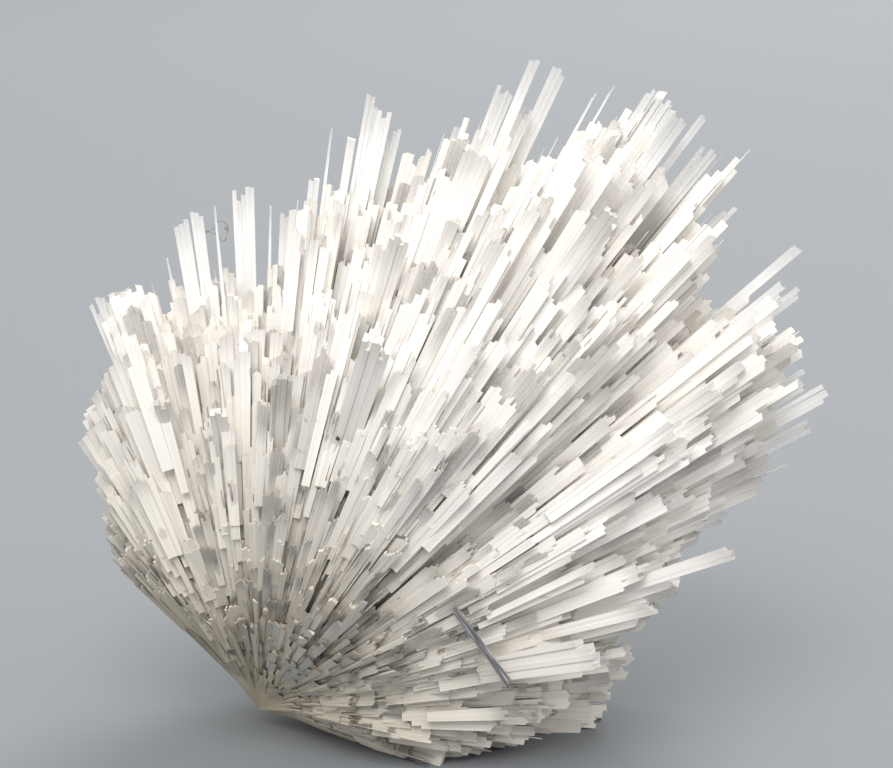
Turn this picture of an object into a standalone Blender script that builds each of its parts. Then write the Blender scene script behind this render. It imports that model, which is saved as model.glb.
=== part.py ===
# A scolecite spray: hundreds of prismatic crystals that radiate from one point and are grown together,
# standing on a flat broken underside, with a loose needle lodged among the crystals of its front.
# Metres, +Z up, +X to the right and -Y towards the viewer. Blender 4.5.

import math
import random

import bmesh
import bpy
from mathutils import Matrix, Vector, noise

MM = 0.001

# Placing of the spray. Angles are in degrees.
NUCLEUS = Vector((-0.0320, -0.0087, 0.0045))  # the point that every crystal radiates from
LEAN = 12.0  # how far the plane of the fan leans back from upright

# Reach of the crystals in the plane of the fan, in millimetres, by the angle from +X.
FAN_REACH = (
    (-24, 33), (-12, 42), (-4, 52), (4, 58), (12, 66), (20, 80), (26, 92), (33, 101), (42, 103), (49, 116),
    (57, 116), (65, 108), (72, 93), (80, 85), (90, 77), (100, 71), (110, 69), (118, 58), (126, 45), (136, 26),
)
FRONT_EDGE = 67.0  # tilt towards the viewer at which the crystals run out
BACK_EDGE = 61.0  # tilt to the back at which they run out
FULLNESS = 0.95  # below 1 keeps the crystals long until close to those edges

# The crystals of the mass, one for each cell of a grid of directions.
COLUMNS = 48
ROWS = 16
FAN_MIDDLE = 57.0
HALF_ACROSS = 79.0
HALF_DEPTH = 60.0
CORNER_ROUNDING = 0.3
CROWDING = 0.35  # draws the columns together where the crystals are long, so that all are about as wide
CELL_JITTER = 0.27  # share of a cell that its corners wander
VALLEY = 0.84  # share of the reach where neighbouring crystals grow together
SQUEEZE = 0.9  # share of its cell that a crystal's end fills
BUNDLE_ACROSS = 8.0  # crystals this close share a length
BUNDLE_DEPTH = 11.0
BUNDLE_STEP = 0.2  # share by which the shortest bundles fall short of the longest
BUNDLE_PROUD = 0.06  # share by which the longest bundles pass the reach
BUNDLE_HASH = 37.0  # spreads the bundles' centres over the cells that give their steps
LENGTH_SPREAD = 0.03
SLANT = 0.35  # slope of the broken ends
ROOT_RADIUS = 3.5 * MM  # the stub where the spray broke off its rock
SEED = 11

# Single crystals that stand out, as (across, towards viewer, length mm, width mm, thickness mm).
STANDING_CRYSTALS = (
    # the left shoulder
    (123.0, 6, 54.0, 2.2, 1.6), (121.0, 4, 57.0, 1.6, 1.4), (112.0, 0, 73.5, 3.4, 2.4), (108.5, 3, 73.0, 3.0, 2.2),
    (102.0, 0, 76.5, 1.0, 1.0), (99.3, 2, 82.0, 2.6, 1.5), (97.4, 2, 83.0, 2.0, 1.5), (95.0, 5, 83.5, 1.0, 1.0),
    (92.4, -4, 87.5, 3.7, 1.4), (89.0, 0, 83.5, 1.0, 1.0), (87.3, 0, 82.5, 1.6, 1.3), (84.3, 0, 89.0, 1.8, 1.6),
    # the tall group over the middle
    (83.0, 2, 97.0, 1.1, 1.0), (81.0, 0, 96.0, 1.4, 1.1), (79.6, 0, 103.5, 2.3, 1.7), (78.2, 2, 101.5, 2.4, 1.7),
    (76.9, 0, 99.0, 2.0, 1.6), (74.6, 0, 95.5, 1.2, 1.2), (73.0, -2, 97.0, 1.0, 1.0), (70.9, 0, 102.0, 2.6, 1.7),
    # the crest
    (68.4, 0, 111.0, 3.0, 2.4), (67.0, 2, 116.5, 1.7, 1.4), (66.3, 0, 109.5, 3.4, 2.2), (64.9, -2, 118.0, 2.6, 1.6),
    (61.4, 0, 117.5, 1.2, 1.1), (60.4, 3, 118.5, 1.1, 1.0), (57.6, 0, 122.0, 1.3, 1.2), (56.0, 0, 121.5, 3.8, 2.4),
    (54.6, 3, 120.0, 3.0, 2.2), (53.1, 0, 123.5, 1.3, 1.1), (51.1, 0, 119.5, 3.0, 1.7), (46.6, 0, 115.0, 1.6, 1.3),
    # the right side
    (40.3, -3, 119.0, 1.7, 1.4), (38.9, 3, 111.0, 2.2, 1.6), (37.6, 0, 113.5, 1.8, 1.3), (35.4, 0, 106.0, 1.6, 1.3),
    (31.0, 0, 106.5, 3.2, 2.3), (29.2, 2, 107.5, 2.8, 2.0), (27.4, 4, 102.5, 2.2, 1.8), (21.4, -14, 88.5, 3.2, 2.2),
    # the front
    (20.3, 22, 86.5, 2.2, 1.6), (17.5, 30, 76.0, 2.0, 1.6), (13.6, 36, 68.0, 4.6, 2.6), (36.0, 20, 96.0, 3.0, 2.0),
    (55.0, 22, 105.0, 3.8, 2.0), (67.3, 18, 90.0, 4.2, 2.2), (72.8, 20, 86.0, 3.2, 2.0), (71.0, 36, 79.0, 4.6, 2.6),
    (84.0, 33, 66.0, 3.2, 2.0), (95.0, 34, 60.0, 2.6, 1.8), (105.0, 28, 60.0, 2.6, 1.8),
)
BURIED_SHARE = 0.6  # share of a standing crystal's length that lies in the mass
ROOT_WIDTH_SHARE = 0.72  # a crystal's width where it enters the mass, against its end

# The loose needle, by the points of its centreline in the fan's own frame: right, up, towards the viewer.
NEEDLE_TOP = Vector((31.6, 19.7, 36.4)) * MM
NEEDLE_FOOT = Vector((41.0, 6.5, 31.0)) * MM
NEEDLE_WIDTH = 1.3 * MM
NEEDLE_GAP = 0.3 * MM
SEAT_HEIGHT = 14 * MM

FLOOR_BLOCK = 0.4  # side of the block that cuts the underside flat


def clear_scene():
    for obj in list(bpy.data.objects):
        bpy.data.objects.remove(obj)


def new_collection(name):
    collection = bpy.data.collections.new(name)
    bpy.context.scene.collection.children.link(collection)
    return collection


def crystal_material(name, colour, roughness):
    material = bpy.data.materials.new(name)
    material.use_nodes = True
    shader = material.node_tree.nodes["Principled BSDF"]
    shader.inputs["Base Color"].default_value = (*colour, 1.0)
    shader.inputs["Roughness"].default_value = roughness
    shader.inputs["Metallic"].default_value = 0.0
    return material


def direction(across, depth):
    """Unit vector in the fan's own frame: X right, Y up in its plane, Z towards the viewer."""
    a = math.radians(across)
    d = math.radians(depth)
    return Vector((math.cos(d) * math.cos(a), math.cos(d) * math.sin(a), math.sin(d)))


def angles_of(vector):
    """The across and depth angles of a direction. Across runs from -123 to 237, so it has no jump in the fan."""
    across = math.degrees(math.atan2(vector.y, vector.x))
    if across < FAN_MIDDLE - 180:
        across += 360
    return across, math.degrees(math.asin(vector.normalized().z))


def fan_reach(across):
    """Reach in the plane of the fan, in metres, straight between the stated angles."""
    if across <= FAN_REACH[0][0]:
        return FAN_REACH[0][1] * MM
    for (low, near), (high, far) in zip(FAN_REACH, FAN_REACH[1:]):
        if across <= high:
            return (near + (far - near) * (across - low) / (high - low)) * MM
    return FAN_REACH[-1][1] * MM


def reach(across, depth):
    """Length of an average crystal at these angles, in metres."""
    edge = FRONT_EDGE if depth > 0 else BACK_EDGE
    turn = min(abs(depth) / edge, 0.97) * math.pi / 2
    return fan_reach(across) * math.cos(turn) ** FULLNESS


def bundle_step(across, depth):
    """Share by which all the crystals of one bundle are longer or shorter than their reach."""
    place = Vector((across / BUNDLE_ACROSS, depth / BUNDLE_DEPTH, 0.5))
    nearest = noise.voronoi(place)[1][0]
    share = 0.5 + 0.5 * noise.cell(nearest * BUNDLE_HASH)
    return BUNDLE_PROUD - BUNDLE_STEP * share


def grid_angles(u, v):
    """Across and depth angles of a grid point, with u and v from -1 to 1. The grid's corners are rounded off."""
    across = u * math.sqrt(1 - CORNER_ROUNDING * v * v)
    across = (1 - CROWDING) * across + CROWDING * across**3
    depth = v * math.sqrt(1 - CORNER_ROUNDING * u * u)
    return FAN_MIDDLE + HALF_ACROSS * across, HALF_DEPTH * depth


def direction_grid():
    """A grid mesh wrapped round the nucleus: inner corners at the depth of the valleys, its rim on the stub."""
    mesh = bmesh.new()
    bmesh.ops.create_grid(mesh, x_segments=COLUMNS, y_segments=ROWS, size=1.0)
    rng = random.Random(SEED)
    for corner in mesh.verts:
        u, v = corner.co.x, corner.co.y
        if corner.is_boundary:
            corner.co = direction(*grid_angles(u, v)) * ROOT_RADIUS
            continue
        u += rng.uniform(-1, 1) * CELL_JITTER * 2 / COLUMNS
        v += rng.uniform(-1, 1) * CELL_JITTER * 2 / ROWS
        across, depth = grid_angles(u, v)
        corner.co = direction(across, depth) * reach(across, depth) * VALLEY
    return mesh


def close_root(mesh):
    """Draws the rim of the grid together behind the nucleus, as the stub that broke off the rock."""
    rim = [edge for edge in mesh.edges if edge.is_boundary]
    made = bmesh.ops.extrude_edge_only(mesh, edges=rim)["geom"]
    tail = [item for item in made if isinstance(item, bmesh.types.BMVert)]
    away = direction(FAN_MIDDLE + 180, 0) * ROOT_RADIUS / 2
    bmesh.ops.pointmerge(mesh, verts=tail, merge_co=away)


def raise_crystals(mesh):
    """Turns every cell of the grid into a crystal that stands out of the valleys round it."""
    rng = random.Random(SEED + 1)
    cells = list(mesh.faces)
    corners = {face: [corner.co.copy() for corner in face.verts] for face in cells}
    bmesh.ops.inset_individual(mesh, faces=cells, thickness=0.02 * MM, use_even_offset=False)
    for face in cells:
        base = corners[face]
        axis = sum((corner.normalized() for corner in base), Vector()).normalized()
        across, depth = angles_of(axis)
        body = reach(across, depth)
        length = body * (1 + bundle_step(across, depth) + rng.gauss(0, LENGTH_SPREAD))
        length = max(length, 1.04 * max(corner.dot(axis) for corner in base))
        slope = Vector((rng.uniform(-1, 1), rng.uniform(-1, 1), rng.uniform(-1, 1))) * SLANT
        spread = SQUEEZE * min(length, body)
        for end in face.verts:
            corner = min(base, key=lambda point: (point - end.co).length)
            sideways = (corner / corner.dot(axis) - axis) * spread
            end.co = axis * (length - abs(sideways.dot(slope))) + sideways


def crystal_mass():
    """The mesh of the crystals that fill the spray."""
    mesh = direction_grid()
    raise_crystals(mesh)
    close_root(mesh)
    bmesh.ops.triangulate(mesh, faces=mesh.faces)
    mesh.normal_update()
    bmesh.ops.recalc_face_normals(mesh, faces=mesh.faces)
    return mesh


def crystal_frame(across, depth):
    """Turns a crystal's own axes to its place in the fan: X its width, Y its thickness, Z its length."""
    along = direction(across, depth)
    width = direction(across + 90, 0)
    thickness = along.cross(width)
    return Matrix((width, thickness, along)).transposed()


def standing_crystal(across, depth, length, width, thickness, slant):
    """A prism from inside the mass to its end, a little wider there, with its end cut at a slant."""
    mesh = bmesh.new()
    bmesh.ops.create_cube(mesh, size=1.0)
    start = BURIED_SHARE * length
    for corner in mesh.verts:
        at_end = corner.co.z > 0
        share = 1.0 if at_end else ROOT_WIDTH_SHARE
        x = corner.co.x * width * share
        y = corner.co.y * thickness * share
        z = length - slant * (x + width / 2) if at_end else start
        corner.co = crystal_frame(across, depth) @ Vector((x, y, z))
    return mesh


def object_from(name, mesh, collection, parent, material=None):
    data = bpy.data.meshes.new(name)
    mesh.to_mesh(data)
    mesh.free()
    obj = bpy.data.objects.new(name, data)
    collection.objects.link(obj)
    obj.parent = parent
    if material:
        data.materials.append(material)
    return obj


def as_helper(obj):
    """A cutter or a joined shape: the build leaves it out."""
    obj.hide_render = True
    obj.display_type = "WIRE"


def needle_mesh(width, rise):
    """A square bar along the needle, standing out towards the viewer by rise from its lower face."""
    along = NEEDLE_FOOT - NEEDLE_TOP
    side = along.cross(Vector((0, 0, 1))).normalized()
    up = side.cross(along).normalized()
    mesh = bmesh.new()
    bmesh.ops.create_cube(mesh, size=1.0)
    length = along.length + width - NEEDLE_WIDTH
    middle = (NEEDLE_TOP + NEEDLE_FOOT) / 2
    for corner in mesh.verts:
        height = -width / 2 if corner.co.z < 0 else rise
        offset = side * corner.co.x * width + along.normalized() * corner.co.y * length + up * height
        corner.co = middle + offset
    return mesh


def add_boolean(obj, operation, operand):
    modifier = obj.modifiers.new(operation.title(), "BOOLEAN")
    modifier.operation = operation
    modifier.solver = "EXACT"
    if isinstance(operand, bpy.types.Collection):
        modifier.operand_type = "COLLECTION"
        modifier.collection = operand
    else:
        modifier.object = operand


def main():
    clear_scene()
    specimen = new_collection("scolecite_specimen")
    cutters = new_collection("cutters")
    joined = new_collection("joined_crystals")

    nucleus = bpy.data.objects.new("nucleus", None)
    nucleus.location = NUCLEUS
    nucleus.rotation_euler = (math.radians(90 - LEAN), 0, 0)
    specimen.objects.link(nucleus)

    white = crystal_material("scolecite_white", (0.86, 0.85, 0.82), 0.35)
    clear = crystal_material("scolecite_clear", (0.62, 0.64, 0.68), 0.15)

    rng = random.Random(SEED + 2)
    for number, (across, depth, length, width, thickness) in enumerate(STANDING_CRYSTALS):
        sizes = (length * MM, width * MM, thickness * MM)
        mesh = standing_crystal(across, depth, *sizes, rng.uniform(-0.5, 0.5))
        as_helper(object_from(f"standing_crystal_{number:02d}", mesh, joined, nucleus))

    floor = bmesh.new()
    bmesh.ops.create_cube(floor, size=FLOOR_BLOCK)
    bmesh.ops.translate(floor, vec=(0, 0, -FLOOR_BLOCK / 2), verts=floor.verts)
    floor_block = object_from("floor_block", floor, cutters, None)
    seat = object_from("needle_seat", needle_mesh(NEEDLE_WIDTH + 2 * NEEDLE_GAP, SEAT_HEIGHT), cutters, nucleus)
    for cutter in (floor_block, seat):
        as_helper(cutter)

    spray = object_from("scolecite_spray", crystal_mass(), specimen, nucleus, white)
    add_boolean(spray, "UNION", joined)
    add_boolean(spray, "DIFFERENCE", seat)
    add_boolean(spray, "DIFFERENCE", floor_block)
    object_from("loose_needle", needle_mesh(NEEDLE_WIDTH, NEEDLE_WIDTH / 2), specimen, nucleus, clear)


main()
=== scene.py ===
# A scolecite spray: white, silky blades of crystal that radiate from one point, clear at their tips.
# Metres, +Z up, +X to the right and -Y towards the viewer. Blender 4.5.

import math
import random

import bmesh
import bpy
from mathutils import Matrix, Vector, noise
from mathutils.bvhtree import BVHTree


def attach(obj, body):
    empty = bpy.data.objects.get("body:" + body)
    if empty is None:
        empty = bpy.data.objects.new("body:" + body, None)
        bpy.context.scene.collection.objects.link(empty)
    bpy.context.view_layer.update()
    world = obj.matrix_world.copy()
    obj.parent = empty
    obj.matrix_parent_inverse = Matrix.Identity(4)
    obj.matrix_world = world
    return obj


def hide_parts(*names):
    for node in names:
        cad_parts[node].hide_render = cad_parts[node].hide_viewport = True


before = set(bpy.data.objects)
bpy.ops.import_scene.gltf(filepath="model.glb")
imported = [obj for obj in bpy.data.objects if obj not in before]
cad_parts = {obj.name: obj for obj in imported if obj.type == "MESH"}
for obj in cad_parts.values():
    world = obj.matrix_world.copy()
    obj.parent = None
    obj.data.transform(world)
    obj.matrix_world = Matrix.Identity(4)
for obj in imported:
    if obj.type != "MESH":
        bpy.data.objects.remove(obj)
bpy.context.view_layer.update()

MM = 0.001

# The camera's frame, for places read from the photograph. Angles are in degrees.
FRAME_WIDTH = 893
FRAME_HEIGHT = 768
PIXELS_PER_MM = 6.0
NUCLEUS_PIXEL = (262, 705)
CAMERA_DISTANCE = 0.42
SENSOR_WIDTH = 36.0

# Placing of the spray, as in the solids.
NUCLEUS = Vector((-0.0320, -0.0087, 0.0045))
LEAN = 12.0
FAN_TO_WORLD = Matrix.Translation(NUCLEUS) @ Matrix.Rotation(math.radians(90 - LEAN), 4, "X")

# Reach of the crystals in the plane of the fan, in millimetres, by the angle from +X.
FAN_REACH = (
    (-24, 33), (-12, 42), (-4, 52), (4, 58), (12, 66), (20, 80), (26, 92), (33, 101), (42, 103),
    (49, 116), (57, 116), (65, 108), (72, 93), (80, 85), (90, 77), (100, 71), (110, 69), (118, 58),
    (126, 45), (136, 26),
)
FRONT_EDGE = 67.0  # at this angle towards the viewer nothing is left of the reach
BACK_EDGE = 61.0  # the same, away from the viewer
FULLNESS = 0.95  # the lower it is, the fuller the fan is before and behind its plane

# The grid of directions that the solids' crystals fill.
COLUMNS = 48
ROWS = 16
FAN_MIDDLE = 57.0
HALF_ACROSS = 79.0
HALF_DEPTH = 60.0
CORNER_ROUNDING = 0.3
CROWDING = 0.35
CELL_JITTER = 0.27  # share of a cell that its corners wander by, at most, each way
VALLEY = 0.84  # the valleys between the solids' crystals, against the reach
BUNDLE_ACROSS = 8.0  # degrees that a bundle of crystals takes up
BUNDLE_DEPTH = 11.0
BUNDLE_STEP = 0.2  # the most by which bundles differ in length, against the reach
BUNDLE_PROUD = 0.06  # how far the longest bundles stand past it
BUNDLE_HASH = 37.0  # sets the bundles' places far apart in the noise that draws their lengths
BUNDLE_SLICE = 0.5
LENGTH_SPREAD = 0.03
PAST_CORNERS = 1.04  # a crystal is at least this long, against the valleys at its corners
LAST_TURN = 0.97  # past this share of the edge angles the crystals get no shorter
ROOT_RADIUS = 3.5 * MM
SEED = 11
INSIDE = 0.9999  # keeps a place on the grid's edge within its last cell
SLIVER = 1e-6  # the same, in cells

# Added to the seed for each kind of piece.
DRAWS = {"laths": 10, "strips": 20, "needles": 40, "standing": 60, "roots": 70, "loose": 80}

# How each crystal of the solids splits into laths, and each lath into strips side by side.
STRIPS_ACROSS = 5
LATHS_DEEP = 5
LATH_WIDTH = (1.1 * MM, 3.1 * MM)
STEEP_NARROWER = 0.45
LATH_SHORTER = 0.14  # share by which a lath may fall short of its crystal
STEEP_SHORTER = 0.34  # added to it where the crystals point most at the viewer
SHORT_POWER = 1.3  # above 1, most laths fall short by little
STEEP_SHORT_POWER = 0.3  # taken from it where the crystals point most at the viewer
LATH_TURN = 5.0  # a lath is turned about its own length by up to this
LATH_THICKNESS = 0.95  # against the distance to the lath behind it
THICKNESS_SPREAD = (0.8, 1.2)
LATH_BODY = 0.26  # share of the crystal's length that the lath is drawn for; the rest lies in the core
STEEP_BODY = 0.30  # the same where the crystals point most at the viewer, and along the outside
SHINGLE_ANGLE = 11.0  # the laths lie this steeply to the surface that their ends make
SLOPE_STEP = 1.0  # that surface's slope is taken over this many degrees to each side
FEWEST_STRIPS = 2
MOST_STRIPS = 9
STRIP_SPREAD = 0.007  # share by which the strips of one lath differ in length
STRIP_FILL = 0.985  # width of a strip, against the room that it has
STRIP_RELIEF = 0.06 * MM  # the strips of a lath stand up to this far before or behind each other
END_SLOPE = 0.5  # spread of the slants of the laths' ends
SKIRT = 0.94  # past this share of the grid the crystals show along their whole length
CORE_REACH = 0.72  # the core's surface, against the reach
STEEP_CORE = 0.34  # taken from it where the crystals point most at the viewer
CORE_RIM = 0.42  # the core's surface along the rim of the fan
CORE_EDGE = 0.965  # the core's rim, against the grid's
CORE_FINENESS = 2  # points of the core for each crystal of the grid, each way
CORE_TAIL = ROOT_RADIUS / 4
NOTCH_ACROSS = 42.4  # a gap in the skyline on the right of the crest
NOTCH_WIDTH = 1.9
NOTCH_DEEP = 0.085  # share by which the crystals there are shorter

# How clear the laths are, from 0 to 1.
WHOLE_CLEAR = 0.88  # a lath clearer than this is clear all along, the others at their ends only
CLEAR_RANGE = (0.9, 1.0)
CLEAR_LATHS = 0.07  # share of the laths that are in that range, in the plane of the fan
STEEP_CLEAR_LATHS = 0.38  # added to it where the crystals point most at the viewer

# Fine needles that stand between the blades.
NEEDLE_COLUMNS = 75
NEEDLE_ROWS = 20
NEEDLE_WIDTH = (0.25 * MM, 0.6 * MM)
NEEDLE_PROUD = (-0.06, 0.02)
NEEDLE_POINT = 0.3  # width of a needle's end, against its root
NEEDLE_FIELD = 0.96  # share of the grid that they stand in
NEEDLE_ROOT = 0.75  # they are drawn from this share of their length outwards
NEEDLE_FLATNESS = (0.5, 1.0)
LEAST_NEEDLE_CLEAR = 0.3

ROOT_LATHS = 1000  # short laths along the outside near the nucleus
ROOT_WIDTH = (0.5 * MM, 1.5 * MM)
WHOLE_ROOTS = 0.25  # share of those of the front that reach the nucleus
WHOLE_SIDE_ROOTS = 0.6  # the same for the other sides
WHOLE_BODY = 0.97
ROOT_EDGE = 0.995
FRONT_ROOT_PLACE = (0.90, 1.03)  # across the outside, against the grid's edge
SIDE_ROOT_PLACE = (0.97, 1.0)
ROOT_LENGTH = (0.35, 1.15)  # against the crystals there
ROOT_SLIMNESS = 0.12  # the most that a width may be of the length
FRONT_ROOT_LIFT = 0.03  # how far they stand off, at most, against their length
SIDE_ROOT_LIFT = 0.01

# Single crystals that stand out, as (across, towards viewer, length mm, width mm, thickness mm).
STANDING_CRYSTALS = (
    # the left shoulder
    (123.0, 6, 54.0, 2.2, 1.6), (121.0, 4, 57.0, 1.6, 1.4), (112.0, 0, 73.5, 3.4, 2.4),
    (108.5, 3, 73.0, 3.0, 2.2), (102.0, 0, 76.5, 1.0, 1.0), (99.3, 2, 82.0, 2.6, 1.5),
    (97.4, 2, 83.0, 2.0, 1.5), (95.0, 5, 83.5, 1.0, 1.0), (92.4, -4, 87.5, 3.7, 1.4),
    (89.0, 0, 83.5, 1.0, 1.0), (87.3, 0, 82.5, 1.6, 1.3), (84.3, 0, 89.0, 1.8, 1.6),
    # the tall group over the middle
    (83.0, 2, 97.0, 1.1, 1.0), (81.0, 0, 96.0, 1.4, 1.1), (79.6, 0, 103.5, 2.3, 1.7),
    (78.2, 2, 101.5, 2.4, 1.7), (76.9, 0, 99.0, 2.0, 1.6), (74.6, 0, 95.5, 1.2, 1.2),
    (73.0, -2, 97.0, 1.0, 1.0), (70.9, 0, 102.0, 2.6, 1.7),
    # the crest
    (68.4, 0, 111.0, 3.0, 2.4), (67.0, 2, 116.5, 1.7, 1.4), (66.3, 0, 109.5, 3.4, 2.2),
    (64.9, -2, 118.0, 2.6, 1.6), (61.4, 0, 117.5, 1.2, 1.1), (60.4, 3, 118.5, 1.1, 1.0),
    (57.6, 0, 122.0, 1.3, 1.2), (56.0, 0, 121.5, 3.8, 2.4), (54.6, 3, 120.0, 3.0, 2.2),
    (53.1, 0, 123.5, 1.3, 1.1), (51.1, 0, 119.5, 3.0, 1.7), (46.6, 0, 115.0, 1.6, 1.3),
    # the right side
    (40.3, -3, 119.0, 1.7, 1.4), (38.9, 3, 111.0, 2.2, 1.6), (37.6, 0, 113.5, 1.8, 1.3),
    (35.4, 0, 106.0, 1.6, 1.3), (31.0, 0, 106.5, 3.2, 2.3), (29.2, 2, 107.5, 2.8, 2.0),
    (27.4, 4, 102.5, 2.2, 1.8), (21.4, -14, 88.5, 3.2, 2.2),
    # the front
    (20.3, 22, 86.5, 2.2, 1.6), (17.5, 30, 76.0, 2.0, 1.6), (13.6, 36, 68.0, 4.6, 2.6),
    (36.0, 20, 96.0, 3.0, 2.0), (55.0, 22, 105.0, 3.8, 2.0), (67.3, 18, 90.0, 4.2, 2.2),
    (72.8, 20, 86.0, 3.2, 2.0), (71.0, 36, 79.0, 4.6, 2.6), (84.0, 33, 66.0, 3.2, 2.0),
    (95.0, 34, 60.0, 2.6, 1.8), (105.0, 28, 60.0, 2.6, 1.8),
)
FRONT_DEPTH = 10  # a standing crystal that points more than this at the viewer is one of the front
BURIED_SHARE = 0.68
STANDING_STRIP = 0.75 * MM  # width of the strips that a standing crystal splits into
STRIP_DEPTH = (0.65, 1.0)  # against the crystal's thickness
STANDING_SLOPE = 0.5
STANDING_TAPER = 0.8  # width of a buried root, against the end
SHORT_STRIP = 2.5 * MM  # a strip may fall this far short, but most fall short by little
TIP_SLANT = 0.5 * MM
NEEDLE_LIMIT = 1.25  # millimetres; a standing crystal that is narrower is a pointed needle
FRONT_CLEAR = (0.6, 1.0)
SKYLINE_CLEAR = (0.6, 0.87)  # clear at their ends only, and white where they leave the others

# The loose needle's centreline in the fan's own frame: right, up, towards the viewer.
LOOSE_TOP = Vector((31.6, 19.7, 36.4)) * MM
LOOSE_FOOT = Vector((41.0, 6.5, 31.0)) * MM
LOOSE_WIDTH = 1.3 * MM
LOOSE_STRIPS = 4
LOOSE_FILL = 0.96
LOOSE_HEIGHT = (0.28, 0.45)  # half of a strip's thickness, against the needle's width
LOOSE_SPLINTER = (1.2 * MM, 2.4 * MM)  # the most that a strip falls short at the top and at the foot
LOOSE_TAPER = (0.8, 0.9)

# Striations along the crystals: this far apart, at this distance from the nucleus.
STRIATION = 0.35 * MM
STRIATION_RADIUS = 80 * MM
BROAD_STREAKS = 0.22  # frequency of the broad streaks, against the striations
STRIATION_DEPTH = 0.1 * MM
STRIATION_LAYERS = 40.0  # how far apart two laths' patterns are drawn from, for tones from 0 to 1

# Looks of the crystals.
REFRACTION = 1.51
NUCLEUS_TINT_AND_SHADE_RANGE = (4 * MM, 70 * MM)  # distances from the nucleus between which the tan tint and painted shade fade
# Colours at the nucleus: a tan tint, made darker as painted shade where the crystals crowd at their base.
TAN_SHADED_WHITE = "#C0B190"
TAN_SHADED_GREY = "#8D8881"
STREAK_GREY = 0.36  # the most grey that a striation takes
TIP_POWER = 1.4
WHOLE_SHARE = 0.75  # how clear a lath that is clear all along gets
CLEAR_SHADE_GREY = 0.7  # the most grey that clear crystal takes: painted shade for what is seen through it
SHARP_FROM = 0.35  # clearness at which it starts to be seen through

# Dirt that the photograph shows.
LINT_PIXELS = (
    (204, 238), (206, 233), (212, 231), (217, 227), (218, 222), (224, 221), (229, 226), (229, 231),
    (225, 230), (226, 226), (230, 231), (226, 235), (228, 239), (225, 243), (220, 240), (218, 234),
    (211, 233), (205, 231),
)
LINT_THICKNESS = 0.13 * MM
LINT_DISTANCE = 1.6 * MM  # before the plane of the fan
LINT_WAVE = 0.8 * MM  # it wanders this far nearer and farther
LINT_WAVE_STEP = 1.7  # radians of that wave from one place to the next
FIBRE_PIXELS = ((490, 573), (494, 581), (493, 590), (488, 596), (481, 598))
SPECK_PIXEL = (338, 438)
SPECK_RADIUS = 0.32 * MM
SPECK_LUMPS = 0.5
SPECK_LUMP_SIZE = 0.3 * MM
SPECK_PROUD = 0.4  # share of its radius that its middle stands off the crystal

# The studio. Lights as name, place, size in metres and power in watts.
AREA_LIGHTS = (
    ("key", (-0.35, -1.7, 2.1), 1.5, 48.0),
    ("fill", (1.7, -1.3, 1.2), 1.8, 6.0),
    ("glow_from_behind", (0.8, 2.5, 2.3), 1.8, 80.0),
)
LIGHT_AIM = Vector((0, 0, 55 * MM))
WORLD_COLOUR = "#D2D3D4"
WORLD_STRENGTH = 1.25
FLOOR_HALF = 4.0


# Directions and lengths, the same as in the solids.


def direction(across, depth):
    """Unit vector in the fan's own frame: X right, Y up in its plane, Z towards the viewer."""
    across, depth = math.radians(across), math.radians(depth)
    in_plane = math.cos(depth)
    return Vector((in_plane * math.cos(across), in_plane * math.sin(across), math.sin(depth)))


def angles_of(vector):
    """The across and depth angles of a direction."""
    across = math.degrees(math.atan2(vector.y, vector.x))
    if across < FAN_MIDDLE - 180:
        across += 360
    return across, math.degrees(math.asin(vector.normalized().z))


def fan_reach(across):
    """Reach in the plane of the fan, in metres, straight between the stated angles."""
    if across <= FAN_REACH[0][0]:
        return FAN_REACH[0][1] * MM
    for (low, near), (high, far) in zip(FAN_REACH, FAN_REACH[1:]):
        if across <= high:
            return (near + (far - near) * (across - low) / (high - low)) * MM
    return FAN_REACH[-1][1] * MM


def reach(across, depth):
    """Length of an average crystal at these angles, in metres."""
    edge = FRONT_EDGE if depth > 0 else BACK_EDGE
    turn = min(abs(depth) / edge, LAST_TURN) * math.pi / 2
    return fan_reach(across) * math.cos(turn) ** FULLNESS


def bundle_step(across, depth):
    """Share by which all the crystals of one bundle are longer or shorter than their reach."""
    place = Vector((across / BUNDLE_ACROSS, depth / BUNDLE_DEPTH, BUNDLE_SLICE))
    nearest = noise.voronoi(place)[1][0]
    share = 0.5 + 0.5 * noise.cell(nearest * BUNDLE_HASH)
    return BUNDLE_PROUD - BUNDLE_STEP * share


def grid_angles(u, v):
    """Across and depth angles of a grid point, with u and v from -1 to 1.

    The grid's corners are rounded off, and its columns are closest together in the middle.
    """
    across = u * math.sqrt(max(1 - CORNER_ROUNDING * v * v, 0))
    across = (1 - CROWDING) * across + CROWDING * across**3
    depth = v * math.sqrt(max(1 - CORNER_ROUNDING * u * u, 0))
    return FAN_MIDDLE + HALF_ACROSS * across, HALF_DEPTH * depth


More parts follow.
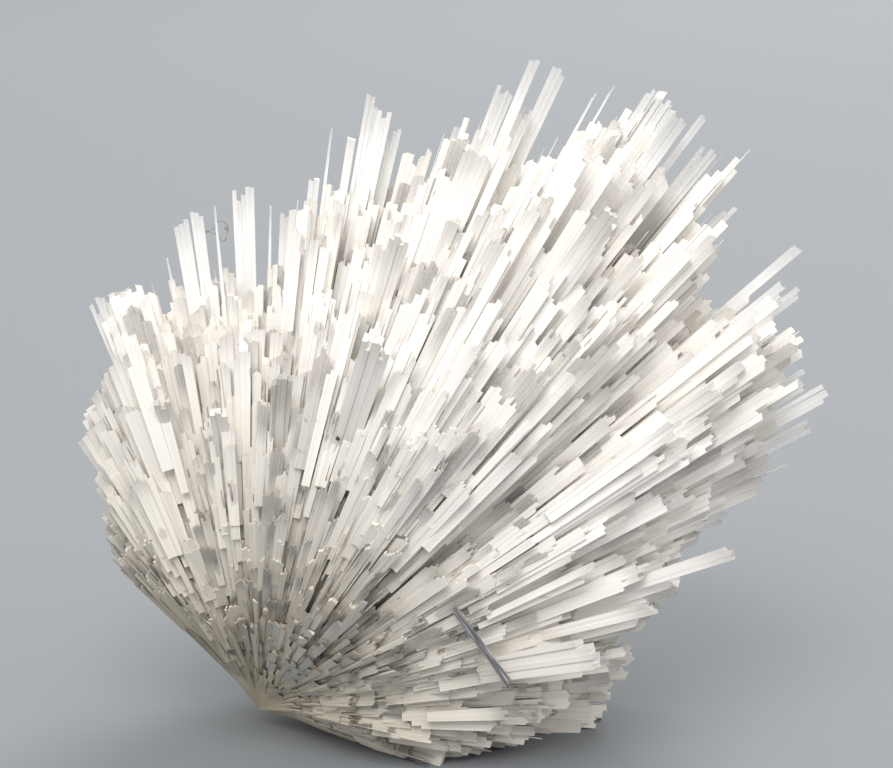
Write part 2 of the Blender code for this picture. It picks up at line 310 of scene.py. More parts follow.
class CrystalGrid:
    """The crystals of the solids: how far each corner of the grid wanders, and each crystal's length."""

    def __init__(self):
        mesh = bmesh.new()
        bmesh.ops.create_grid(mesh, x_segments=COLUMNS, y_segments=ROWS, size=1.0)
        rng = random.Random(SEED)
        self.wander = {}
        for corner in mesh.verts:
            u, v = corner.co.x, corner.co.y
            place = self.corner_of(u, v)
            self.wander[place] = (0.0, 0.0)
            if corner.is_boundary:
                corner.co = direction(*grid_angles(u, v)) * ROOT_RADIUS
                continue
            across_wander = rng.uniform(-1, 1) * CELL_JITTER * 2 / COLUMNS
            depth_wander = rng.uniform(-1, 1) * CELL_JITTER * 2 / ROWS
            self.wander[place] = (across_wander, depth_wander)
            across, depth = grid_angles(u + across_wander, v + depth_wander)
            corner.co = direction(across, depth) * reach(across, depth) * VALLEY
        rng = random.Random(SEED + 1)
        self.lengths = [self.length_of(face, rng) for face in mesh.faces]
        mesh.free()

    def corner_of(self, u, v):
        """Column and row of the corner at u and v."""
        return round((u + 1) / 2 * COLUMNS), round((v + 1) / 2 * ROWS)

    def cell_of(self, u, v):
        """Column and row of the cell that u and v fall in, or of the nearest one."""
        u, v = (min(max(value, -INSIDE), INSIDE) for value in (u, v))
        return math.floor((u + 1) / 2 * COLUMNS), math.floor((v + 1) / 2 * ROWS)

    def length_of(self, face, rng):
        """Length of the solids' crystal that stands on a face, and never less than its valleys need."""
        corners = [corner.co for corner in face.verts]
        axis = sum((corner.normalized() for corner in corners), Vector()).normalized()
        across, depth = angles_of(axis)
        spread = rng.gauss(0, LENGTH_SPREAD)
        # The solids draw three more numbers here, for the slant of the crystal's end.
        for _ in range(3):
            rng.uniform(-1, 1)
        length = reach(across, depth) * (1 + bundle_step(across, depth) + spread)
        return max(length, PAST_CORNERS * max(corner.dot(axis) for corner in corners))

    def length(self, u, v):
        """Length of the crystal that fills the cell of u and v."""
        column, row = self.cell_of(u, v)
        return self.lengths[row * COLUMNS + column]

    def cell_reach(self, u, v):
        """Reach at the middle of the cell that u and v fall in."""
        column, row = self.cell_of(u, v)
        return reach(*grid_angles(-1 + 2 * (column + 0.5) / COLUMNS, -1 + 2 * (row + 0.5) / ROWS))

    def direction(self, u, v):
        """Direction of a point of the grid, with its corners' wandering blended in."""
        x = min(max((u + 1) / 2 * COLUMNS, 0), COLUMNS - SLIVER)
        y = min(max((v + 1) / 2 * ROWS, 0), ROWS - SLIVER)
        column, row = int(x), int(y)
        across_wander = depth_wander = 0.0
        for i, j in ((0, 0), (1, 0), (0, 1), (1, 1)):
            weight = (x - column if i else 1 - x + column) * (y - row if j else 1 - y + row)
            wander = self.wander[column + i, row + j]
            across_wander += weight * wander[0]
            depth_wander += weight * wander[1]
        return direction(*grid_angles(u + across_wander, v + depth_wander))


# Meshes.


def finished(name, mesh, materials):
    """Makes a bmesh in the fan's own frame an object whose place is in its mesh."""
    bmesh.ops.transform(mesh, matrix=FAN_TO_WORLD, verts=mesh.verts)
    return object_from(name, mesh, materials)


def object_from(name, mesh, materials):
    """Makes a bmesh that is already in its place an object at the origin."""
    data = bpy.data.meshes.new(name)
    mesh.to_mesh(data)
    mesh.free()
    for material in materials:
        data.materials.append(material)
    obj = bpy.data.objects.new(name, data)
    bpy.context.scene.collection.objects.link(obj)
    return obj


def cut_flat(mesh):
    """Cuts a mesh in the fan's own frame off at the floor and closes the cut ends."""
    to_fan = FAN_TO_WORLD.inverted()
    point = to_fan @ Vector((0, 0, 0))
    normal = (to_fan.to_3x3() @ Vector((0, 0, 1))).normalized()
    everything = list(mesh.verts) + list(mesh.edges) + list(mesh.faces)
    bmesh.ops.bisect_plane(mesh, geom=everything, plane_co=point, plane_no=normal, clear_inner=True)
    rims = [edge for edge in mesh.edges if edge.is_boundary]
    bmesh.ops.holes_fill(mesh, edges=rims, sides=0)


def surface_point(across, depth):
    """Point, in the fan's own frame, that an average crystal at these angles reaches."""
    return direction(across, depth) * reach(across, depth)


def lath_tilt(across, depth):
    """Tilt towards the viewer of the laths there: as flat to the surface as SHINGLE_ANGLE lets them lie."""
    size = abs(depth)
    along_surface = surface_point(across, size - SLOPE_STEP) - surface_point(across, size + SLOPE_STEP)
    outward = along_surface.dot(direction(across, 0))
    slope = math.degrees(math.atan2(along_surface.z, outward))
    return math.copysign(min(size, max(slope + SHINGLE_ANGLE, 0.0)), depth)


def steepness(depth):
    """0 in the plane of the fan, 1 where the crystals point most at the viewer or away."""
    return min(abs(depth) / HALF_DEPTH, 1.0) ** 2


def clear_share(steep, rng):
    """How clear a crystal is. More are clear all along where they point at the viewer."""
    if rng.random() < CLEAR_LATHS + STEEP_CLEAR_LATHS * steep:
        return rng.uniform(*CLEAR_RANGE)
    return rng.uniform(0.0, WHOLE_CLEAR)


def notch_share(across):
    """What is left of a crystal's length in the gap on the right of the crest."""
    return 1 - NOTCH_DEEP * math.exp(-(((across - NOTCH_ACROSS) / NOTCH_WIDTH) ** 2))


class Lath:
    """One lath: where its end is, how it lies, its sizes and the looks that all its strips share."""

    def __init__(self, grid, u, v, count, rng):
        middle = grid.direction(u, v)
        across, depth = angles_of(middle)
        steep = steepness(depth)
        self.length = grid.length(u, v) * reach(across, depth) / grid.cell_reach(u, v)
        power = SHORT_POWER - STEEP_SHORT_POWER * steep
        self.length *= 1 - (LATH_SHORTER + STEEP_SHORTER * steep) * rng.random() ** power
        self.length *= notch_share(across)
        self.end = middle * self.length
        on_skirt = max(abs(u), abs(v)) > SKIRT
        self.along = middle if on_skirt else direction(across, lath_tilt(across, depth))
        self.body = self.length * (STEEP_BODY if on_skirt else LATH_BODY + (STEEP_BODY - LATH_BODY) * steep)
        half_row = 1.0 / (ROWS * LATHS_DEEP)
        row_step = (grid.direction(u, v + half_row) - grid.direction(u, v - half_row)) * self.length
        if not on_skirt:
            size = abs(depth) + HALF_DEPTH * half_row
            row_step = surface_point(across, size) - surface_point(across, size - 2 * HALF_DEPTH * half_row)
        thickness = self.along.cross(row_step).length * LATH_THICKNESS
        half_strip = 1.0 / (COLUMNS * STRIPS_ACROSS)
        step = grid.direction(u + half_strip, v) - grid.direction(u - half_strip, v)
        self.strip = step.length * self.length
        turn = Matrix.Rotation(math.radians(rng.uniform(-1, 1) * LATH_TURN), 3, self.along)
        side = self.along.cross(Vector((0, 0, 1)).cross(self.along)).normalized()
        side = turn @ side.cross(self.along).normalized()
        self.side = side if side.dot(step) > 0 else -side
        self.over = self.along.cross(self.side) * thickness * rng.uniform(*THICKNESS_SPREAD)
        self.count = count
        self.slope = rng.gauss(0, 1) * END_SLOPE
        self.lean = rng.gauss(0, 1) * END_SLOPE
        self.tone = rng.random()
        self.clear = clear_share(steep, rng)


def laths_of(grid, columns, rows, rng):
    """The lath that each cell of the fine grid belongs to, and its number there, by column and row."""
    owner = {}
    for row in range(rows):
        v = -1 + 2 * (row + 0.5) / rows
        column = 0
        while column < columns:
            u = -1 + 2 * (column + 0.5) / columns
            strip = (grid.direction(u + 1 / columns, v) - grid.direction(u - 1 / columns, v)).length
            steep = steepness(angles_of(grid.direction(u, v))[1])
            width = rng.uniform(*LATH_WIDTH) * (1 - STEEP_NARROWER * steep)
            count = round(width / (strip * grid.length(u, v)))
            count = min(max(count, FEWEST_STRIPS), MOST_STRIPS, columns - column)
            lath = Lath(grid, -1 + 2 * (column + count / 2) / columns, v, count, rng)
            for number in range(count):
                owner[column + number, row] = (lath, number)
            column += count
    return owner


def raised_strips(mesh, place):
    """Turns every face of a grid into a prism of its own.

    place(face) gives the prism's root corners, its end corners, its tone and how clear it is.
    """
    bmesh.ops.split_edges(mesh, edges=mesh.edges)
    plans = {}
    for number, face in enumerate(mesh.faces):
        plans[number] = place(face)
    number_layer = mesh.faces.layers.int.new("number")
    mesh.faces.ensure_lookup_table()
    for number, face in enumerate(mesh.faces):
        face[number_layer] = number
    looks_layer = mesh.verts.layers.float_color.new("crystal")
    for number, face in enumerate(mesh.faces):
        roots, _, tone, clear = plans[number]
        for corner, root in zip(face.verts, roots):
            corner.co = root
            corner[looks_layer] = (0.0, tone, clear, 1.0)
    ends = bmesh.ops.extrude_discrete_faces(mesh, faces=mesh.faces)["faces"]
    for face in ends:
        roots, tips, tone, clear = plans[face[number_layer]]
        for corner in face.verts:
            nearest = min(range(len(roots)), key=lambda k: (roots[k] - corner.co).length_squared)
            corner[looks_layer] = (1.0, tone, clear, 1.0)
            corner.co = tips[nearest]
    rims = [edge for edge in mesh.edges if edge.is_boundary]
    bmesh.ops.holes_fill(mesh, edges=rims, sides=4)
    mesh.faces.layers.int.remove(mesh.faces.layers.int["number"])


def crystal_laths(name, grid, owner, nearer, material):
    """The laths of the half nearer to the viewer or of the half behind, each split into strips."""
    columns = COLUMNS * STRIPS_ACROSS
    rows = ROWS * LATHS_DEEP
    rng = random.Random(SEED + DRAWS["strips"] + nearer)
    mesh = bmesh.new()
    bmesh.ops.create_grid(mesh, x_segments=columns, y_segments=rows // 2, size=1.0)
    bmesh.ops.scale(mesh, vec=(1, 0.5, 1), verts=mesh.verts)
    bmesh.ops.translate(mesh, vec=(0, 0.5 if nearer else -0.5, 0), verts=mesh.verts)

    def place(face):
        middle = face.calc_center_median()
        lath, number = owner[int((middle.x + 1) / 2 * columns), int((middle.y + 1) / 2 * rows)]
        share = number - (lath.count - 1) / 2
        offset = lath.side * share * lath.strip + lath.over.normalized() * rng.uniform(-1, 1) * STRIP_RELIEF
        length_change = lath.length * rng.gauss(0, STRIP_SPREAD)
        narrowing = 1 - lath.body / lath.length
        roots = []
        tips = []
        for x, y in ((-1, -1), (1, -1), (1, 1), (-1, 1)):
            aside = offset + lath.side * x * lath.strip * STRIP_FILL / 2 + lath.over * y / 2
            cut = abs(aside.dot(lath.side) * lath.slope) + abs(y * lath.over.length / 2 * lath.lean)
            roots.append(lath.end - lath.along * lath.body + aside * narrowing)
            tips.append(lath.end + lath.along * (length_change - cut) + aside)
        return roots, tips, lath.tone, lath.clear

    raised_strips(mesh, place)
    cut_flat(mesh)
    return finished(name, mesh, [material])


def milky_core(grid, material):
    """The crowded inside of the spray: it shows only in the gaps between the laths and at the nucleus."""
    mesh = bmesh.new()
    columns, rows = COLUMNS * CORE_FINENESS, ROWS * CORE_FINENESS
    bmesh.ops.create_grid(mesh, x_segments=columns, y_segments=rows, size=1.0)
    looks_layer = mesh.verts.layers.float_color.new("crystal")
    for corner in mesh.verts:
        inward = CORE_EDGE if corner.is_boundary else 1.0
        heading = grid.direction(corner.co.x * inward, corner.co.y * inward)
        across, depth = angles_of(heading)
        share = CORE_RIM if corner.is_boundary else CORE_REACH - STEEP_CORE * steepness(depth)
        corner.co = heading * reach(across, depth) * share
        corner[looks_layer] = (0.0, 0.5, 0.0, 1.0)
    rim = [edge for edge in mesh.edges if edge.is_boundary]
    underside = bmesh.ops.holes_fill(mesh, edges=rim, sides=0)["faces"]
    tail = bmesh.ops.poke(mesh, faces=underside)["verts"][0]
    tail.co = direction(FAN_MIDDLE + 180, 0) * CORE_TAIL
    tail[looks_layer] = (0.0, 0.5, 0.0, 1.0)
    bmesh.ops.recalc_face_normals(mesh, faces=mesh.faces)
    cut_flat(mesh)
    return finished("milky_core", mesh, [material])


def crystal_needles(grid, material):
    """Thin needles that stand a little out of the blades."""
    rng = random.Random(SEED + DRAWS["needles"])
    mesh = bmesh.new()
    bmesh.ops.create_grid(mesh, x_segments=NEEDLE_COLUMNS, y_segments=NEEDLE_ROWS, size=1.0)

    def place(face):
        middle = face.calc_center_median()
        u = (middle.x + rng.uniform(-1, 1) / NEEDLE_COLUMNS) * NEEDLE_FIELD
        v = (middle.y + rng.uniform(-1, 1) / NEEDLE_ROWS) * NEEDLE_FIELD
        axis = grid.direction(u, v)
        length = grid.length(u, v) * (1 + rng.uniform(*NEEDLE_PROUD))
        length *= notch_share(angles_of(axis)[0])
        width = rng.uniform(*NEEDLE_WIDTH)
        side = axis.cross(Vector((rng.gauss(0, 1), rng.gauss(0, 1), rng.gauss(0, 1)))).normalized()
        other = axis.cross(side) * rng.uniform(*NEEDLE_FLATNESS)
        roots = []
        tips = []
        for across, over in ((-1, -1), (1, -1), (1, 1), (-1, 1)):
            aside = (side * across + other * over) * width / 2
            roots.append(axis * length * NEEDLE_ROOT + aside)
            tips.append(axis * (length - rng.random() * width) + aside * NEEDLE_POINT)
        return roots, tips, rng.random(), rng.uniform(LEAST_NEEDLE_CLEAR, 1.0)

    raised_strips(mesh, place)
    cut_flat(mesh)
    return finished("crystal_needles", mesh, [material])


def standing_crystals(name, on_front, material):
    """The crystals that stand out of the skyline or of the front, each a few strips side by side."""
    rng = random.Random(SEED + DRAWS["standing"] + on_front)
    places = []
    for across, depth, length, width, thickness in STANDING_CRYSTALS:
        if (depth > FRONT_DEPTH) != on_front:
            continue
        along = direction(across, depth)
        side = direction(across + 90, 0)
        over = along.cross(side)
        count = max(round(width * MM / STANDING_STRIP), FEWEST_STRIPS)
        tone = rng.random()
        clear = rng.uniform(*(FRONT_CLEAR if on_front else SKYLINE_CLEAR))
        slope = rng.uniform(-STANDING_SLOPE, STANDING_SLOPE)
        for number in range(count):
            share = (number + 0.5) / count - 0.5
            strip = width * MM / count
            middle = side * share * width * MM
            end = length * MM - abs(slope * share * width * MM) - rng.random() ** 3 * SHORT_STRIP
            deep = thickness * MM * rng.uniform(*STRIP_DEPTH)
            point = NEEDLE_POINT if width < NEEDLE_LIMIT else 1.0
            wide = strip * STRIP_FILL
            places.append((along, side, over, middle, wide, deep, end, point, tone, clear))
    mesh = bmesh.new()
    bmesh.ops.create_grid(mesh, x_segments=len(places), y_segments=1, size=1.0)
    waiting = iter(places)

    def place(face):
        along, side, over, middle, wide, deep, end, point, tone, clear = next(waiting)
        roots = []
        tips = []
        for x, y in ((-1, -1), (1, -1), (1, 1), (-1, 1)):
            aside = side * x * wide / 2 + over * y * deep / 2
            roots.append(along * end * BURIED_SHARE + (middle + aside) * STANDING_TAPER)
            tips.append(along * (end - rng.random() * TIP_SLANT) + (middle + aside) * point)
        return roots, tips, tone, clear

    raised_strips(mesh, place)
    return finished(name, mesh, [material])


def root_laths(grid, material):
    """Short laths that lie along the outside near the nucleus, with their ends at all distances from it."""
    rng = random.Random(SEED + DRAWS["roots"])
    mesh = bmesh.new()
    bmesh.ops.create_grid(mesh, x_segments=ROOT_LATHS, y_segments=1, size=1.0)

    def place(face):
        turn = math.pi * face.calc_center_median().x + rng.uniform(-1, 1) * math.pi / ROOT_LATHS
        sideways, upright = math.cos(turn), math.sin(turn)
        edge = ROOT_EDGE / max(abs(sideways), abs(upright))
        on_front = upright > abs(sideways)
        outward = rng.uniform(*(FRONT_ROOT_PLACE if on_front else SIDE_ROOT_PLACE))
        u, v = sideways * edge * outward, upright * edge * outward
        along = grid.direction(u, v)
        length = grid.length(u, v) * reach(*angles_of(along)) / grid.cell_reach(u, v)
        length *= rng.uniform(*ROOT_LENGTH)
        centre = direction(FAN_MIDDLE, 0)
        outside = (along - centre * along.dot(centre)).normalized()
        side = along.cross(outside).normalized()
        width = min(rng.uniform(*ROOT_WIDTH), length * ROOT_SLIMNESS)
        lift = length * rng.uniform(0.0, FRONT_ROOT_LIFT if on_front else SIDE_ROOT_LIFT)
        clear = clear_share(1.0, rng)
        whole = rng.random() < (WHOLE_ROOTS if on_front else WHOLE_SIDE_ROOTS)
        body = WHOLE_BODY if whole else STEEP_BODY
        roots = []
        tips = []
        for x, y in ((-1, -1), (1, -1), (1, 1), (-1, 1)):
            aside = side * x * width / 2 + outside * (y * width / 3 + lift)
            roots.append(along * length * (1 - body) + aside * (1 - body))
            tips.append(along * (length - rng.random() * width) + aside)
        return roots, tips, rng.random(), clear

    raised_strips(mesh, place)
    cut_flat(mesh)
    return finished("root_laths", mesh, [material])


def loose_needle(material):
    """The loose needle: strips side by side, splintered at its ends, where the solid one lies."""
    rng = random.Random(SEED + DRAWS["loose"])
    along = LOOSE_FOOT - LOOSE_TOP
    side = along.cross(Vector((0, 0, 1))).normalized()
    up = side.cross(along).normalized()
    mesh = bmesh.new()
    bmesh.ops.create_grid(mesh, x_segments=LOOSE_STRIPS, y_segments=1, size=1.0)
    numbers = iter(range(LOOSE_STRIPS))

    def place(face):
        middle = side * ((next(numbers) + 0.5) / LOOSE_STRIPS - 0.5) * LOOSE_WIDTH
        high = LOOSE_WIDTH * rng.uniform(*LOOSE_HEIGHT)
        top_gap, foot_gap = (rng.random() * most for most in LOOSE_SPLINTER)
        roots = []
        tips = []
        for x, y in ((-1, -1), (1, -1), (1, 1), (-1, 1)):
            aside = middle + side * x * LOOSE_WIDTH / LOOSE_STRIPS * LOOSE_FILL / 2 + up * y * high
            roots.append(LOOSE_TOP + aside * LOOSE_TAPER[0] + along.normalized() * top_gap)
            tips.append(LOOSE_FOOT + aside * LOOSE_TAPER[1] - along.normalized() * foot_gap)
        return roots, tips, rng.random(), 1.0

    raised_strips(mesh, place)
    return finished("needle_of_clear_crystal", mesh, [material])


# Places read from the photograph.


def camera_axes():
    """The view's own right, up and towards-the-viewer directions."""
    lean = math.radians(LEAN)
    up = Vector((0, math.sin(lean), math.cos(lean)))
    towards = Vector((0, -math.cos(lean), math.sin(lean)))
    return Vector((1, 0, 0)), up, towards


def plane_point(pixel):
    """Point of the fan's plane that a pixel of the photograph shows."""
    right, up, _ = camera_axes()
    across = (pixel[0] - NUCLEUS_PIXEL[0]) / PIXELS_PER_MM * MM
    rise = (NUCLEUS_PIXEL[1] - pixel[1]) / PIXELS_PER_MM * MM
    return NUCLEUS + right * across + up * rise


def camera_place():
    """Where the camera stands: straight before the middle of the frame."""
    return plane_point((FRAME_WIDTH / 2, FRAME_HEIGHT / 2)) + camera_axes()[2] * CAMERA_DISTANCE


def seen_point(pixel, trees):
    """Point of the spray's surface that a pixel shows, and the surface's normal there."""
    eye = camera_place()
    towards = (plane_point(pixel) - eye).normalized()
    hits = [tree.ray_cast(eye, towards) for tree in trees]
    point, normal, _, _ = min((hit for hit in hits if hit[0] is not None), key=lambda hit: hit[3])
    return point, normal


def textile_fibre(name, places, material):
    """A thin round fibre along a smooth curve near the places."""
    curve = bpy.data.curves.new(name, "CURVE")
    curve.dimensions = "3D"
    curve.bevel_depth = LINT_THICKNESS / 2
    curve.bevel_resolution = 1
    curve.resolution_u = 6
    curve.use_fill_caps = True
    spline = curve.splines.new("NURBS")
    spline.points.add(len(places) - 1)
    for point, place in zip(spline.points, places):
        point.co = (*place, 1.0)
    spline.use_endpoint_u = True
    spline.order_u = 4
    guide = bpy.data.objects.new("fibre_guide", curve)
    bpy.context.scene.collection.objects.link(guide)
    bpy.context.view_layer.update()
    data = bpy.data.meshes.new_from_object(guide.evaluated_get(bpy.context.evaluated_depsgraph_get()))
    bpy.data.objects.remove(guide)
    mesh = bmesh.new()
    mesh.from_mesh(data)
    bmesh.ops.remove_doubles(mesh, verts=mesh.verts, dist=0.002 * MM)
    bmesh.ops.recalc_face_normals(mesh, faces=mesh.faces)
    return object_from(name, mesh, [material])


def lint_curl(material):
    """A curl of textile fibre caught between the crystals of the left shoulder."""
    towards = camera_axes()[2]
    places = []
    for number, pixel in enumerate(LINT_PIXELS):
        distance = LINT_DISTANCE + LINT_WAVE * math.sin(number * LINT_WAVE_STEP)
        places.append(plane_point(pixel) + towards * distance)
    return textile_fibre("lint_curl", places, material)


def fallen_fibre(material, trees):
    """A short fibre that lies on the crystals of the front."""
    lift = camera_axes()[2] * LINT_THICKNESS
    places = [seen_point(pixel, trees)[0] + lift for pixel in FIBRE_PIXELS]
    return textile_fibre("fallen_fibre", places, material)


def dark_speck(material, trees):
    """A grain of dirt on a blade of the front."""
    place, normal = seen_point(SPECK_PIXEL, trees)
    mesh = bmesh.new()
    bmesh.ops.create_icosphere(mesh, subdivisions=2, radius=SPECK_RADIUS)
    for point in mesh.verts:
        point.co *= 1 + SPECK_LUMPS * noise.noise(point.co / SPECK_LUMP_SIZE)
        point.co += place + normal * SPECK_RADIUS * SPECK_PROUD
    return object_from("dark_speck", mesh, [material])


# Materials.


def linear(code):
    """A colour given as an sRGB hex code, in Blender's linear values."""
    values = [int(code[k : k + 2], 16) / 255 for k in (1, 3, 5)]
    return (*[c / 12.92 if c <= 0.04045 else ((c + 0.055) / 1.055) ** 2.4 for c in values], 1.0)


def add_node(tree, kind, settings=None, links=None, stops=()):
    """Adds a node.

    settings are its properties or socket values, links its inputs by name or number, and stops a colour
    ramp's positions and hex colours.
    """
    node = tree.nodes.new(kind)
    for name, value in (settings or {}).items():
        if isinstance(name, int) or name in node.inputs:
            node.inputs[name].default_value = value
        else:
            setattr(node, name, value)
    for name, source in (links or {}).items():
        tree.links.new(source, node.inputs[name])
    for number, (position, code) in enumerate(stops):
        if number == len(node.color_ramp.elements):
            node.color_ramp.elements.new(1.0)
        node.color_ramp.elements[number].position = position
        node.color_ramp.elements[number].color = linear(code)
    return node


def new_material(name):
    """An empty material, its node tree and its shader."""
    material = bpy.data.materials.new(name)
    material.use_nodes = True
    return material, material.node_tree, material.node_tree.nodes["Principled BSDF"]


def span(low, high, out_low, out_high):
    """Settings that map low to high onto out_low to out_high, held there."""
    return {"From Min": low, "From Max": high, "To Min": out_low, "To Max": out_high}


def striated(tree, shader, grain, roughness):
    """Roughness and bump that follow the striations, and the refraction of scolecite."""
    rough = add_node(tree, "ShaderNodeMapRange", span(0.3, 0.7, *roughness), {"Value": grain})
    ridges = {"Strength": 0.4, "Distance": STRIATION_DEPTH}
    bump = add_node(tree, "ShaderNodeBump", ridges, {"Height": grain})
    tree.links.new(rough.outputs["Result"], shader.inputs["Roughness"])
    tree.links.new(bump.outputs["Normal"], shader.inputs["Normal"])
    shader.inputs["IOR"].default_value = REFRACTION


def striations(tree, tone):
    """Fine and broad streaks along the crystals, and the distance from the nucleus.

    In the fan's own frame the angle round the nucleus is the same all the way along a lath. Each lath's
    tone draws its streaks from another layer of the noise.
    """
    place = add_node(tree, "ShaderNodeTexCoord").outputs["Object"]
    lean = (math.radians(90 - LEAN), 0, 0)
    settings = {"vector_type": "TEXTURE", "Location": NUCLEUS, "Rotation": lean}
    fan_place = add_node(tree, "ShaderNodeMapping", settings, {"Vector": place}).outputs["Vector"]
    distance = add_node(tree, "ShaderNodeVectorMath", {"operation": "LENGTH"}, {0: fan_place})
    parts = add_node(tree, "ShaderNodeSeparateXYZ", links={"Vector": fan_place}).outputs
    angle = add_node(tree, "ShaderNodeMath", {"operation": "ARCTAN2"}, {0: parts["Y"], 1: parts["X"]})
    layer = add_node(tree, "ShaderNodeMath", {"operation": "MULTIPLY", 1: STRIATION_LAYERS}, {0: tone})
    links = {"X": angle.outputs[0], "Y": layer.outputs[0]}
    grain_place = add_node(tree, "ShaderNodeCombineXYZ", links=links).outputs["Vector"]
    stretch = {"operation": "MULTIPLY", 1: (STRIATION_RADIUS / STRIATION, 1.0, 1.0)}
    grain_place = add_node(tree, "ShaderNodeVectorMath", stretch, {0: grain_place}).outputs["Vector"]
    fine = {"Scale": 1.0, "Detail": 2.0}
    fine = add_node(tree, "ShaderNodeTexNoise", fine, {"Vector": grain_place}).outputs["Fac"]
    broad = {"Scale": BROAD_STREAKS, "Detail": 0.0}
    broad = add_node(tree, "ShaderNodeTexNoise", broad, {"Vector": grain_place}).outputs["Fac"]
    return fine, broad, distance.outputs["Value"]


def crystal_material(name, milk, grey, see_through, nucleus_tint_and_shade, tip_start):
    """Scolecite: fibrous prisms, silky white where they crowd, that turn clear towards their tips and are
    painted grey there.

    milk and grey are the colours of the two. The grey is the colour of the streaks and also painted shade
    seen through the clear parts. see_through is the transmission of the clearest tips,
    nucleus_tint_and_shade is how tan and darker the crystals get at the nucleus (a tint with painted shade),
    and tip_start is the share of a lath's drawn length where its tip begins to clear.
    """
    material, tree, shader = new_material(name)
    looks = add_node(tree, "ShaderNodeAttribute", {"attribute_name": "crystal"}).outputs["Color"]
    along, tone, clear = list(add_node(tree, "ShaderNodeSeparateColor", links={"Color": looks}).outputs)[:3]
    fine, broad, distance = striations(tree, tone)

    # White and grey, both tan and darker near the nucleus: a tint with painted shade where the crystals
    # crowd at their base.
    # Grey streaks run along the crystals.
    # A Mix node of colours has its share at input 0, the colours at 6 and 7 and its result at output 2.
    # Painted shade: the crystals turn tan and darker towards the nucleus.
    near = span(*NUCLEUS_TINT_AND_SHADE_RANGE, nucleus_tint_and_shade, 0.0)
    near = add_node(tree, "ShaderNodeMapRange", near, {"Value": distance}).outputs[0]
    tint = {"data_type": "RGBA", 6: linear(milk), 7: linear(TAN_SHADED_WHITE)}
    white = add_node(tree, "ShaderNodeMix", tint, {0: near}).outputs[2]
    tint = {"data_type": "RGBA", 6: linear(grey), 7: linear(TAN_SHADED_GREY)}
    streak_and_shade_grey = add_node(tree, "ShaderNodeMix", tint, {0: near}).outputs[2]
    both = add_node(tree, "ShaderNodeMath", {"operation": "ADD"}, {0: fine, 1: broad}).outputs[0]
    streak = span(0.75, 1.25, 0.0, STREAK_GREY)
    streak = add_node(tree, "ShaderNodeMapRange", streak, {"Value": both}).outputs[0]
    blend = {0: streak, 6: white, 7: streak_and_shade_grey}
    white = add_node(tree, "ShaderNodeMix", {"data_type": "RGBA"}, blend).outputs[2]

    # Tips clear by the lath's own clearness, and the clearest laths are clear all along.
    tip = add_node(tree, "ShaderNodeMapRange", span(tip_start, 1.0, 0.0, 1.0), {"Value": along}).outputs[0]
    own = add_node(tree, "ShaderNodeMath", {"operation": "POWER", 1: TIP_POWER}, {0: clear}).outputs[0]
    tip = add_node(tree, "ShaderNodeMath", {"operation": "MULTIPLY"}, {0: tip, 1: own}).outputs[0]
    whole = span(WHOLE_CLEAR, 1.0, 0.0, WHOLE_SHARE)
    whole = add_node(tree, "ShaderNodeMapRange", whole, {"Value": clear}).outputs[0]
    total = {"operation": "ADD", "use_clamp": True}
    clearness = add_node(tree, "ShaderNodeMath", total, {0: tip, 1: whole}).outputs[0]

    # Painted shade: clear parts turn grey for the shade seen through them.
    shade = {"operation": "MULTIPLY", 1: CLEAR_SHADE_GREY}
    shade = add_node(tree, "ShaderNodeMath", shade, {0: clearness}).outputs[0]
    blend = {0: shade, 6: white, 7: streak_and_shade_grey}
    colour = add_node(tree, "ShaderNodeMix", {"data_type": "RGBA"}, blend).outputs[2]
    sharp = span(SHARP_FROM, 1.0, 0.0, see_through)
    sharp = add_node(tree, "ShaderNodeMapRange", sharp, {"Value": clearness}).outputs[0]
    tree.links.new(colour, shader.inputs["Base Color"])
    tree.links.new(sharp, shader.inputs["Transmission Weight"])
    striated(tree, shader, fine, (0.16, 0.38))
    return material


def shade_seen_through_material():
    """The loose needle: clear scolecite with fine striations, painted grey for the shade seen through it."""
    material, tree, shader = new_material("scolecite_with_painted_shade")
    along = FAN_TO_WORLD.to_3x3() @ (LOOSE_FOOT - LOOSE_TOP)
    turn = along.to_track_quat("Z", "Y").to_euler()
    place = add_node(tree, "ShaderNodeTexCoord").outputs["Object"]
    stretch = (STRIATION, STRIATION, 20 * STRIATION)
    settings = {"vector_type": "TEXTURE", "Rotation": turn, "Scale": stretch}
    place = add_node(tree, "ShaderNodeMapping", settings, {"Vector": place}).outputs["Vector"]
    streaks = {"Scale": 1.5, "Detail": 2.0}
    streaks = add_node(tree, "ShaderNodeTexNoise", streaks, {"Vector": place}).outputs["Fac"]
    # Painted shade: greys for the shaded crystals seen through the needle.
    greys = ((0.3, "#77767A"), (0.55, "#98969A"), (0.7, "#C4C2C2"))
    colour = add_node(tree, "ShaderNodeValToRGB", links={"Fac": streaks}, stops=greys).outputs["Color"]
    sharp = add_node(tree, "ShaderNodeMapRange", span(0.35, 0.65, 0.55, 0.15), {"Value": streaks}).outputs[0]
    tree.links.new(colour, shader.inputs["Base Color"])
    tree.links.new(sharp, shader.inputs["Transmission Weight"])
    striated(tree, shader, streaks, (0.12, 0.3))
    return material


def speckled_material(name, grain, stops, roughness):
    """A matt material whose colour varies over patches about as large as its grain."""
    material, tree, shader = new_material(name)
    place = add_node(tree, "ShaderNodeTexCoord").outputs["Object"]
    patches = add_node(tree, "ShaderNodeTexNoise", {"Scale": 1 / grain}, {"Vector": place}).outputs["Fac"]
    colour = add_node(tree, "ShaderNodeValToRGB", links={"Fac": patches}, stops=stops).outputs["Color"]
    tree.links.new(colour, shader.inputs["Base Color"])
    shader.inputs["Roughness"].default_value = roughness
    return material


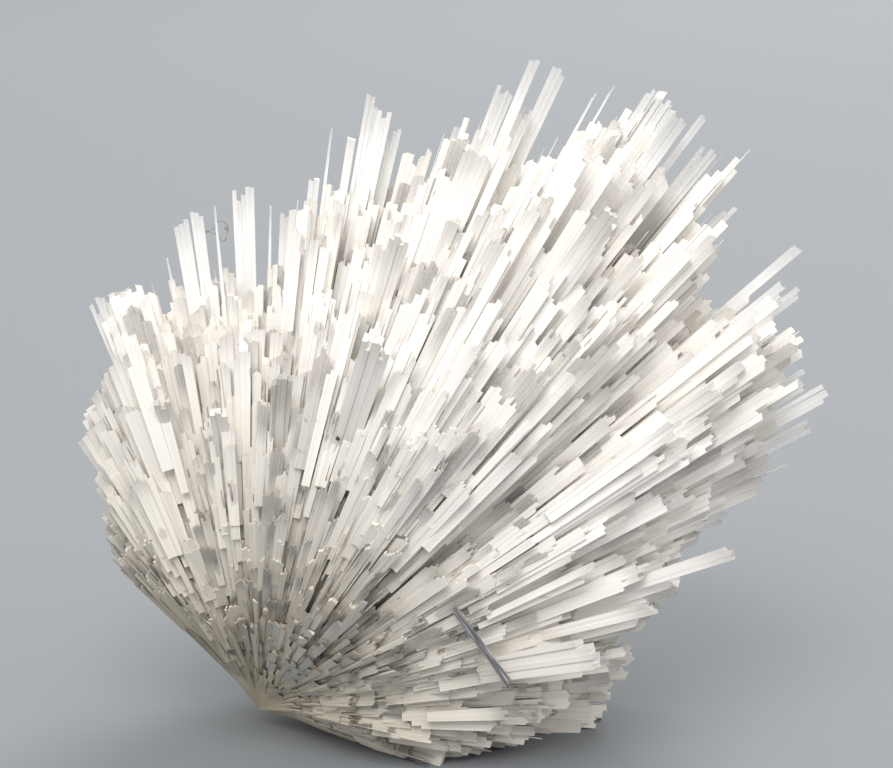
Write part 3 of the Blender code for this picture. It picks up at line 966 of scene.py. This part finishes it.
def lint_material():
    """Cotton lint: a matt, greyish off-white fibre."""
    return speckled_material("cotton_lint", 0.4 * MM, ((0.3, "#6F6960"), (0.7, "#A09A8E")), 0.9)


def grit_material():
    """A grain of dark rock dust, rough and nearly black."""
    return speckled_material("dark_grit", 0.2 * MM, ((0.3, "#1B1714"), (0.7, "#4A4038")), 0.8)


def floor_material():
    """Matt seamless paper, pale grey so that the white crystals stand out from it."""
    material, _, shader = new_material("studio_paper")
    shader.inputs["Base Color"].default_value = linear("#84878A")
    shader.inputs["Roughness"].default_value = 0.9
    return material


# Studio.


def studio_floor():
    mesh = bmesh.new()
    bmesh.ops.create_grid(mesh, x_segments=1, y_segments=1, size=FLOOR_HALF)
    floor = object_from("studio_floor", mesh, [floor_material()])


def area_light(name, place, size, power):
    """A soft square light that faces the middle of the specimen."""
    data = bpy.data.lights.new(name, "AREA")
    data.size = size
    data.energy = power
    light = bpy.data.objects.new(name, data)
    light.location = place
    light.rotation_mode = "QUATERNION"
    light.rotation_quaternion = (LIGHT_AIM - light.location).to_track_quat("-Z", "Y")
    bpy.context.scene.collection.objects.link(light)


def studio_light():
    world = bpy.data.worlds.new("studio_air")
    bpy.context.scene.world = world
    world.use_nodes = True
    background = world.node_tree.nodes["Background"]
    background.inputs["Color"].default_value = linear(WORLD_COLOUR)
    background.inputs["Strength"].default_value = WORLD_STRENGTH
    for settings in AREA_LIGHTS:
        area_light(*settings)
    bpy.context.scene.view_settings.view_transform = "Standard"


def camera():
    """The camera, square to the plane of the fan, with the photograph's scale at that plane."""
    data = bpy.data.cameras.new("camera")
    data.sensor_width = SENSOR_WIDTH
    data.lens = CAMERA_DISTANCE / MM * PIXELS_PER_MM / FRAME_WIDTH * SENSOR_WIDTH
    data.clip_start = 0.01
    obj = bpy.data.objects.new("camera", data)
    obj.location = camera_place()
    obj.rotation_mode = "QUATERNION"
    obj.rotation_quaternion = (-camera_axes()[2]).to_track_quat("-Z", "Y")
    bpy.context.scene.collection.objects.link(obj)
    bpy.context.scene.camera = obj


def main():
    camera()
    studio_floor()
    studio_light()

    # The greys are painted shade seen through clear parts. 0.9 makes the silky crystals tan and darker at
    # the nucleus, a tint with painted shade.
    silky = crystal_material("silky_scolecite", "#FEFAF4", "#D9D4CC", 0.45, 0.9, 0.6)
    clear = crystal_material("clear_scolecite", "#F5F3F0", "#DDDCDA", 0.65, 0.0, 0.55)
    grid = CrystalGrid()
    rng = random.Random(SEED + DRAWS["laths"])
    owner = laths_of(grid, COLUMNS * STRIPS_ACROSS, ROWS * LATHS_DEEP, rng)
    front = crystal_laths("front_laths", grid, owner, True, silky)
    back = crystal_laths("back_laths", grid, owner, False, silky)
    core = milky_core(grid, silky)
    needles = crystal_needles(grid, silky)
    skyline = standing_crystals("skyline_crystals", False, clear)
    front_standing = standing_crystals("front_crystals", True, silky)
    roots = root_laths(grid, silky)
    grown = [front, back, core, needles, skyline, front_standing, roots]
    loose = loose_needle(shade_seen_through_material())

    depsgraph = bpy.context.evaluated_depsgraph_get()
    trees = [BVHTree.FromObject(piece, depsgraph) for piece in (front, front_standing, roots)]
    lint = lint_material()
    dirt = [lint_curl(lint), fallen_fibre(lint, trees), dark_speck(grit_material(), trees)]

    for piece in grown + dirt + [loose]:
        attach(piece, "root")
    for piece in grown:
        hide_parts("scolecite_spray")
    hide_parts("loose_needle")


main()
